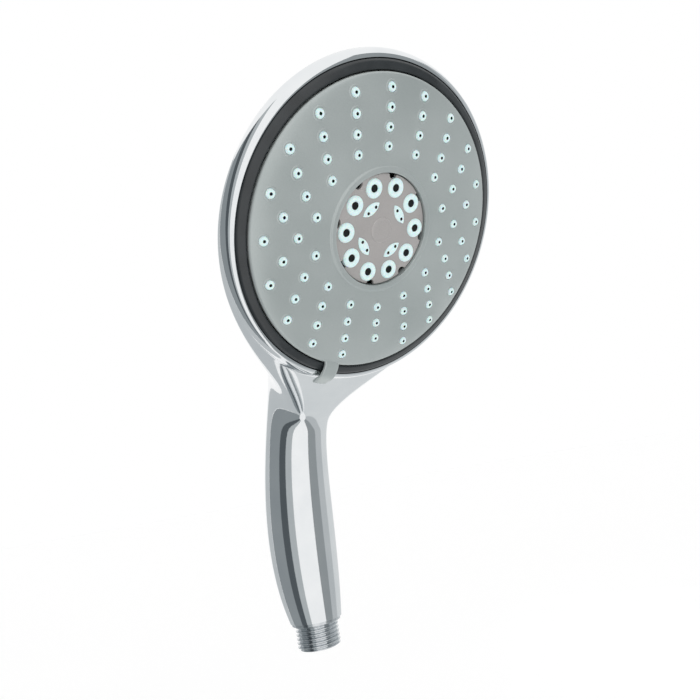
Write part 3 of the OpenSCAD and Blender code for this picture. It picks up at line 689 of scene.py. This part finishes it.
def build_rain_nozzles(s):
    """Rain nozzles: rings of small cones with a domed lip and a shallow hole painted near-black as shade,
    less the one that would lie beside the lever, and under each a low round seat of the plate's own plastic."""
    start = -s["lever_turn"] - np.pi
    counts = (20, 18, 16, 14)
    rings = [ring_places(n, s["rain_ring"] - i * s["rain_pitch"], start) for i, n in enumerate(counts)]
    places = np.vstack([rings[0][1:], *rings[1:]])
    r, jet, top = s["rain_radius"], s["rain_jet"], s["rain_proud"]
    hole_floor, hole_rows, root = 0.1, 4, -1.2
    profile = filleted([
        (0, hole_floor, 0), (jet * 0.8, hole_floor, 0), (jet, top - 0.25, 0.08), (jet + 0.3, top, 0.2),
        (r - 0.75, top, 0.4), (r - 0.15, 0.12, 0.3), (r - 0.1, root, 0), (0, root, 0),
    ], steps=4)
    nozzles = make_piece(
        "rain_nozzles",
        nozzle_grid(profile, places, 20),
        finish("silicone"),
        "spray_face",
        ["nozzle_mat"],
        poles=(True, True),
        # painted shade: the hole's rows are near-black
        hole=(finish("painted_hole_shade"), 0, hole_rows),
    )
    seat_in, seat_out, seat_back = r + 0.05, r + 0.85, -0.3
    seat = filleted([
        (seat_in, seat_back, 0), (seat_in, 0.05, 0.05), (r + 0.3, 0.2, 0.15), (seat_out, 0.0, 0.1),
        (seat_out, seat_back, 0), (seat_in, seat_back, 0),
    ], steps=3)
    seats = nozzle_grid(seat[:-1], places, 24)
    make_piece("nozzle_seats", seats, finish("plate"), "spray_face", loop=True)
    return nozzles


def build_insert(s):
    """Centre insert: a disc whose edge has eight half-moon bites. For each direction the edge lies at the
    disc's radius or where the bite's circle cuts that direction, whichever is nearer the middle."""
    radius, bite = s["insert_radius"] - 0.1, 2.0
    front = -s["insert_recess"]
    a = np.linspace(0, 2 * np.pi, 960, endpoint=False)
    # the angle from the nearest of the eight bites
    off = (a + np.pi / 8) % (np.pi / 4) - np.pi / 8
    under = np.clip(bite**2 - (radius * np.sin(off)) ** 2, 0, None)
    cut = radius * np.cos(off) - np.sqrt(under)
    edge = np.where((under > 0) & (np.abs(off) < np.arcsin(bite / radius)), np.minimum(cut, radius), radius)
    profile = filleted([
        (0, 0, 0), (0.5, 0, 0), (0.985, 0, 0.012), (1, -0.3, 0.2), (1, -1.5, 0), (0, -1.5, 0),
    ], steps=5)
    r = profile[:, :1] * edge
    h = np.repeat(front + profile[:, 1:], len(a), 1)
    points = on_dome(np.stack([r * np.cos(a), r * np.sin(a), h], -1))
    make_piece(
        "centre_insert_disc",
        points,
        finish("insert"),
        "spray_face",
        ["centre_insert"],
        poles=(True, True),
    )
    cap, cap_back = s["cap_radius"], front - 0.4
    dish = filleted([
        (0, front + 0.12, 0), (cap - 1.2, front + 0.18, 0.5), (cap - 0.3, front + 0.3, 0.2),
        (cap, front + 0.1, 0.15), (cap, cap_back, 0), (0, cap_back, 0),
    ], steps=5)
    return make_piece(
        "centre_cap_disc",
        on_dome(lathe(dish, 96)),
        finish("insert"),
        "spray_face",
        ["centre_cap"],
        poles=(True, True),
    )


def build_massage_nozzles(s):
    """Massage nozzles: large soft rings with a rounded shoulder, a funnel and a shallow hole painted
    near-black as shade.
    """
    r, hole, front = s["massage_radius"], s["massage_hole"], -s["insert_recess"]
    hole_floor, hole_rows, root, first_angle = front + 0.08, 3, front - 1.2, math.radians(9.6)
    profile = filleted([
        (0, hole_floor, 0), (hole * 0.85, hole_floor, 0), (hole, front + 0.4, 0.15),
        (hole + 0.5, front + 0.85, 0.3), (r - 0.7, front + 0.9, 0.5), (r, front + 0.3, 0.3), (r, root, 0),
        (0, root, 0),
    ], steps=6)
    places = ring_places(s["massage_count"], s["massage_ring"], first_angle)
    return make_piece(
        "massage_nozzles_soft",
        nozzle_grid(profile, places, 40),
        finish("silicone"),
        "spray_face",
        ["massage_nozzles"],
        poles=(True, True),
        # painted shade: the hole's rows are near-black
        hole=(finish("painted_hole_shade"), 0, hole_rows),
    )


def build_mist_pads(s):
    """Mist pads: four leaves, each where two circles overlap, lying across the radius, with a domed top that
    falls to the edge, and two small raised jets on each, whose shallow holes are painted near-black as
    shade."""
    front = -s["insert_recess"]
    a = np.linspace(0, 2 * np.pi, 96, endpoint=False)
    # the leaf's edge in direction a, from two circles whose centres stand to either side of its middle
    arc, aside = 6.5, 4.3
    edge = -aside * np.abs(np.cos(a)) + np.sqrt(arc**2 - (aside * np.sin(a)) ** 2)
    profile = filleted([
        (0, 0.5, 0), (0.75, 0.47, 0.1), (0.97, 0.3, 0.1), (1, -0.5, 0.05), (0, -0.6, 0),
    ], steps=6)
    r = profile[:, :1] * edge
    h = np.repeat(front + profile[:, 1:], len(a), 1)
    leaf = np.stack([s["mist_ring"] + r * np.cos(a), r * np.sin(a), h], -1)
    turns = np.radians(45 + 90 * np.arange(4))
    c, d = np.cos(turns)[:, None, None], np.sin(turns)[:, None, None]
    x, y = leaf[..., 0] * c - leaf[..., 1] * d, leaf[..., 0] * d + leaf[..., 1] * c
    points = on_dome(np.stack([x, y, np.broadcast_to(leaf[..., 2], x.shape)], -1))
    make_piece(
        "mist_pads",
        points,
        finish("silicone"),
        "spray_face",
        ["mist_nozzles"],
        poles=(True, True),
    )
    jet, hole_floor, hole_rows, jet_turn = s["mist_jet"], front + 0.52, 3, 11.8
    rise = filleted([
        (0, hole_floor, 0), (jet * 0.85, hole_floor, 0), (jet, front + 0.66, 0.05),
        (jet + 0.3, front + 0.7, 0.12), (jet + 0.75, front + 0.4, 0.1), (jet + 0.6, front + 0.2, 0),
        (0, front + 0.1, 0),
    ], steps=4)
    places = np.vstack([
        s["mist_ring"] * np.stack([np.cos(turns + k), np.sin(turns + k)], -1)
        for k in np.radians([-jet_turn, jet_turn])
    ])
    return make_piece(
        "mist_jets",
        nozzle_grid(rise, places, 24),
        finish("silicone"),
        "spray_face",
        poles=(True, True),
        # painted shade: the jets' hole rows are near-black
        hole=(finish("painted_hole_shade"), 0, hole_rows),
    )


# ------------------------------------------------------------------ the hose thread


def build_hose_thread(s):
    """Chromed brass nipple: a rounded parallel thread, r = minor + depth * ridge(z / pitch - turn), that
    fades out at both ends, with the end face, the stepped bore and the collar that the handle sits on."""
    sides = 200
    a = np.linspace(0, 2 * np.pi, sides, endpoint=False)
    z = np.linspace(0.25, s["length"] - 0.05, 150)[:, None]
    turn = (z / s["pitch"] - a / (2 * np.pi)) % 1
    # a ridge with flat, rounded crest and root, 1 at its crest; steepness above 1 widens both flats
    steepness = 1.35
    flank = np.clip(steepness * (1 - 2 * np.abs(turn - 0.5)) - (steepness - 1) / 2, 0, 1)
    ridge = flank**2 * (3 - 2 * flank)
    fade_in, fade_out, fade_start = 0.9, 1.0, 0.1
    fade = np.clip((z - fade_start) / fade_in, 0, 1) * np.clip((s["length"] - z) / fade_out, 0, 1)
    r = s["minor"] + (s["major"] - s["minor"]) * ridge * fade
    thread = np.stack([r * np.cos(a), r * np.sin(a), np.broadcast_to(z, r.shape)], -1)
    minor, shelf, collar, collar_top, top = s["minor"], s["length"], s["collar"], s["collar_top"], s["top"]
    spigot, tube_socket, way = collar - 3, 6.65, s["tube_bore"]
    bore, bore_top, socket_floor = s["bore"], s["bore_depth"], s["bore_depth"] + 5
    above = filleted([
        (minor, shelf - 0.02, 0), (collar, shelf + 0.02, 0.3), (collar, collar_top, 0.2),
        (spigot, collar_top, 0.1), (spigot, top, 0.3), (tube_socket, top, 0.2),
        (tube_socket, socket_floor, 0), (way, socket_floor, 0), (way, bore_top, 0), (bore, bore_top, 0),
        (bore, 0.4, 0), (bore + 0.35, 0.0, 0.1), (minor - 0.4, 0.0, 0.15), (minor, 0.2, 0),
    ])
    points = np.concatenate([thread, lathe(above, sides)])
    return make_piece(
        "hose_thread_nipple",
        points,
        finish("brass_chrome"),
        "handset",
        ["inlet_nipple"],
        loop=True,
        sharp=40,
    )


INNER_FINISHES = {
    "inlet_filter": "stainless",
    "flow_limiter": "green_acetal",
    "limiter_seal": "epdm",
    "water_tube": "acetal",
    "tube_seals": "epdm",
    "valve_cover": "acetal",
    "cover_seal": "epdm",
    "cover_screws": "stainless",
    "valve_body": "acetal",
    "body_screws": "stainless",
    "port_seal": "epdm",
    "port_spring": "stainless",
    "click_spring": "stainless",
    "click_spring_screws": "stainless",
    "pivot_seal": "epdm",
    "thrust_washer": "brass",
    "centre_screw": "stainless",
    # near-black as painted shade of the insert's notches, the only place this disc shows
    "distributor_disc": "notch_shade_acetal",
    "disc_screws": "stainless",
}


# ------------------------------------------------------------------ operators


def gathered(context):
    """Every size in millimetres under its own name."""
    scene = context.scene
    sizes = {}
    for group in (scene.shower_housing, scene.shower_face, scene.shower_nozzles, scene.shower_thread):
        sizes.update(mm(group))
    sizes["lever_turn"] = scene.shower_face.lever_angle
    sizes["massage_count"] = scene.shower_nozzles.massage_count
    return sizes


class SHOWER_OT_housing(bpy.types.Operator):
    """Build the chrome housing"""

    bl_idname = "shower.housing"
    bl_label = "Housing"

    def execute(self, context):
        build_housing(gathered(context))
        return {"FINISHED"}


class SHOWER_OT_trim_ring(bpy.types.Operator):
    """Build the dark ring round the spray face"""

    bl_idname = "shower.trim_ring"
    bl_label = "Trim ring"

    def execute(self, context):
        build_trim_ring(gathered(context))
        return {"FINISHED"}


class SHOWER_OT_plate(bpy.types.Operator):
    """Build the grey spray plate and its lever"""

    bl_idname = "shower.plate"
    bl_label = "Plate and lever"

    def execute(self, context):
        sizes = gathered(context)
        build_plate(sizes)
        build_lever(sizes)
        return {"FINISHED"}


class SHOWER_OT_rain_nozzles(bpy.types.Operator):
    """Build the rings of small nozzles"""

    bl_idname = "shower.rain_nozzles"
    bl_label = "Rain nozzles"

    def execute(self, context):
        build_rain_nozzles(gathered(context))
        return {"FINISHED"}


class SHOWER_OT_insert(bpy.types.Operator):
    """Build the centre insert and its cap"""

    bl_idname = "shower.insert"
    bl_label = "Centre insert"

    def execute(self, context):
        build_insert(gathered(context))
        return {"FINISHED"}


class SHOWER_OT_massage_nozzles(bpy.types.Operator):
    """Build the ring of large nozzles"""

    bl_idname = "shower.massage_nozzles"
    bl_label = "Massage nozzles"

    def execute(self, context):
        build_massage_nozzles(gathered(context))
        return {"FINISHED"}


class SHOWER_OT_mist_pads(bpy.types.Operator):
    """Build the leaf-shaped mist pads and their jets"""

    bl_idname = "shower.mist_pads"
    bl_label = "Mist pads"

    def execute(self, context):
        build_mist_pads(gathered(context))
        return {"FINISHED"}


class SHOWER_OT_hose_thread(bpy.types.Operator):
    """Build the threaded nipple at the foot of the handle"""

    bl_idname = "shower.hose_thread"
    bl_label = "Hose thread"

    def execute(self, context):
        build_hose_thread(gathered(context))
        return {"FINISHED"}


class SHOWER_OT_inner_parts(bpy.types.Operator):
    """Give the inner parts their finishes"""

    bl_idname = "shower.inner_parts"
    bl_label = "Inner parts"

    def execute(self, context):
        for node, name in INNER_FINISHES.items():
            mesh = frame["nodes"][node].data
            mesh.materials.clear()
            mesh.materials.append(finish(name))
        return {"FINISHED"}


# each card: name, azimuth from the front towards the right and width in degrees, top in metres, colour
CARDS = (
    ("card_far_left", -166, 36, 1.6, "#C2C6C8"),
    ("card_dark_left", -122, 50, 1.6, "#8E9497"),
    ("card_dark_near", -85, 24, 1.6, "#555B5F"),
    ("card_dim_near", -62, 22, 1.6, "#B4B9BB"),
    ("card_grey_right", 30, 34, 0.9, "#969B9D"),
    ("card_mid_right", 62, 30, 1.2, "#BCC0C2"),
    ("card_pale_right", 102, 50, 1.2, "#DADDDE"),
)
# in metres: how far the cards stand from the part, how near their aprons come and how high those lie
CARD_DISTANCE, APRON_END, APRON_LIFT = 1.5, 0.06, 0.001


def card(name, azimuth, width, top, colour, floor_z):
    """A studio card that only mirrors see: a curved wall round the part, from its top down to the floor,
    and from there an apron along the floor towards the part. It casts no shadow and gives soft surfaces
    no light."""
    a = np.radians(azimuth + width * np.linspace(-0.5, 0.5, 25))
    side = np.stack([np.sin(a), -np.cos(a)], -1)
    low = floor_z + APRON_LIFT
    rows = ((CARD_DISTANCE, top), (CARD_DISTANCE, low), (APRON_END, low))
    co = np.concatenate([np.column_stack([r * side, np.full(len(a), z)]) for r, z in rows])
    n = len(a)
    first = (np.arange(n - 1) + n * np.arange(2)[:, None]).ravel()
    faces = np.stack([first, first + 1, first + n + 1, first + n], -1)
    mesh = bpy.data.meshes.new(name)
    mesh.from_pydata(co.tolist(), [], faces.tolist())
    material = bpy.data.materials.new(name + "_paper")
    material.use_nodes = True
    tree = material.node_tree
    tree.nodes.clear()
    glow = add_node(tree, "ShaderNodeEmission", {"Color": linear(colour), "Strength": 1.0})
    add_node(tree, "ShaderNodeOutputMaterial", links={"Surface": glow.outputs[0]})
    mesh.materials.append(material)
    piece = bpy.data.objects.new(name, mesh)
    bpy.context.scene.collection.objects.link(piece)
    piece.visible_camera = piece.visible_diffuse = piece.visible_shadow = False
    piece.visible_transmission = piece.visible_volume_scatter = False
    return piece


# the camera, in metres and in the part's own axes: where it stands, what lies behind it and to its right
CAMERA_PLACE = (-0.1716, -0.2773, 0.0744)
CAMERA_BACK = (-0.6108, -0.7649, -0.2047)
CAMERA_RIGHT = (0.7917, -0.5874, -0.1675)


class SHOWER_OT_studio(bpy.types.Operator):
    """Build the floor, the even white light, the cards and the camera"""

    bl_idname = "shower.studio"
    bl_label = "Studio"

    def execute(self, context):
        scene, settings = context.scene, context.scene.shower_studio
        span, drop = 40.0, -settings.floor_drop
        corners = [(-span, -span, drop), (span, -span, drop), (span, span, drop), (-span, span, drop)]
        mesh = bpy.data.meshes.new("floor")
        mesh.from_pydata(corners, [], [(0, 1, 2, 3)])
        pale = bpy.data.materials.new("white_floor")
        pale.use_nodes = True
        shader = pale.node_tree.nodes["Principled BSDF"]
        shader.inputs["Base Color"].default_value = (*settings.backdrop, 1)
        shader.inputs["Roughness"].default_value = 0.9
        mesh.materials.append(pale)
        floor = bpy.data.objects.new("floor", mesh)
        scene.collection.objects.link(floor)

        world = bpy.data.worlds.new("studio")
        scene.world = world
        world.use_nodes = True
        world.node_tree.nodes["Background"].inputs["Color"].default_value = (*settings.backdrop, 1)
        world.node_tree.nodes["Background"].inputs["Strength"].default_value = 1.0
        # plain sRGB keeps the white backdrop white
        scene.view_settings.view_transform = "Standard"

        for name, azimuth, width, top, colour in CARDS:
            card(name, azimuth, width, top, colour, drop)

        data = bpy.data.cameras.new("camera")
        data.lens = settings.lens
        data.sensor_width = 36
        camera = bpy.data.objects.new("camera", data)
        back = unit(np.array(CAMERA_BACK))
        up = unit(np.cross(back, unit(np.array(CAMERA_RIGHT))))
        right = np.cross(up, back)
        camera.matrix_world = Matrix(
            [(right[i], up[i], back[i], CAMERA_PLACE[i]) for i in range(3)] + [(0, 0, 0, 1)]
        )
        scene.collection.objects.link(camera)
        scene.camera = camera
        return {"FINISHED"}


class SHOWER_PT_panel(bpy.types.Panel):
    """Lists the pieces and their sizes"""

    bl_label = "Shower head"
    bl_idname = "SHOWER_PT_panel"
    bl_space_type = "VIEW_3D"
    bl_region_type = "UI"
    bl_category = "Shower"

    def draw(self, context):
        for owner in GROUPS:
            box = self.layout.box()
            group = getattr(context.scene, owner)
            for key in group.__annotations__:
                box.prop(group, key)
        for operator in OPERATORS:
            self.layout.operator(operator.bl_idname)


GROUPS = {
    "shower_housing": HousingSizes,
    "shower_face": FaceSizes,
    "shower_nozzles": NozzleSizes,
    "shower_thread": ThreadSizes,
    "shower_studio": StudioSettings,
}
OPERATORS = (
    SHOWER_OT_housing,
    SHOWER_OT_trim_ring,
    SHOWER_OT_plate,
    SHOWER_OT_rain_nozzles,
    SHOWER_OT_insert,
    SHOWER_OT_massage_nozzles,
    SHOWER_OT_mist_pads,
    SHOWER_OT_hose_thread,
    SHOWER_OT_inner_parts,
    SHOWER_OT_studio,
)
CLASSES = (*GROUPS.values(), *OPERATORS, SHOWER_PT_panel)


def register():
    for cls in CLASSES:
        bpy.utils.register_class(cls)
    for owner, group in GROUPS.items():
        setattr(bpy.types.Scene, owner, PointerProperty(type=group))


def unregister():
    for owner in GROUPS:
        delattr(bpy.types.Scene, owner)
    for cls in reversed(CLASSES):
        bpy.utils.unregister_class(cls)


def main():
    """Registers the add-on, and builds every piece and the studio."""
    register()
    for operator in OPERATORS:
        group, name = operator.bl_idname.split(".")
        getattr(getattr(bpy.ops, group), name)()


if __name__ == "__main__":
    main()
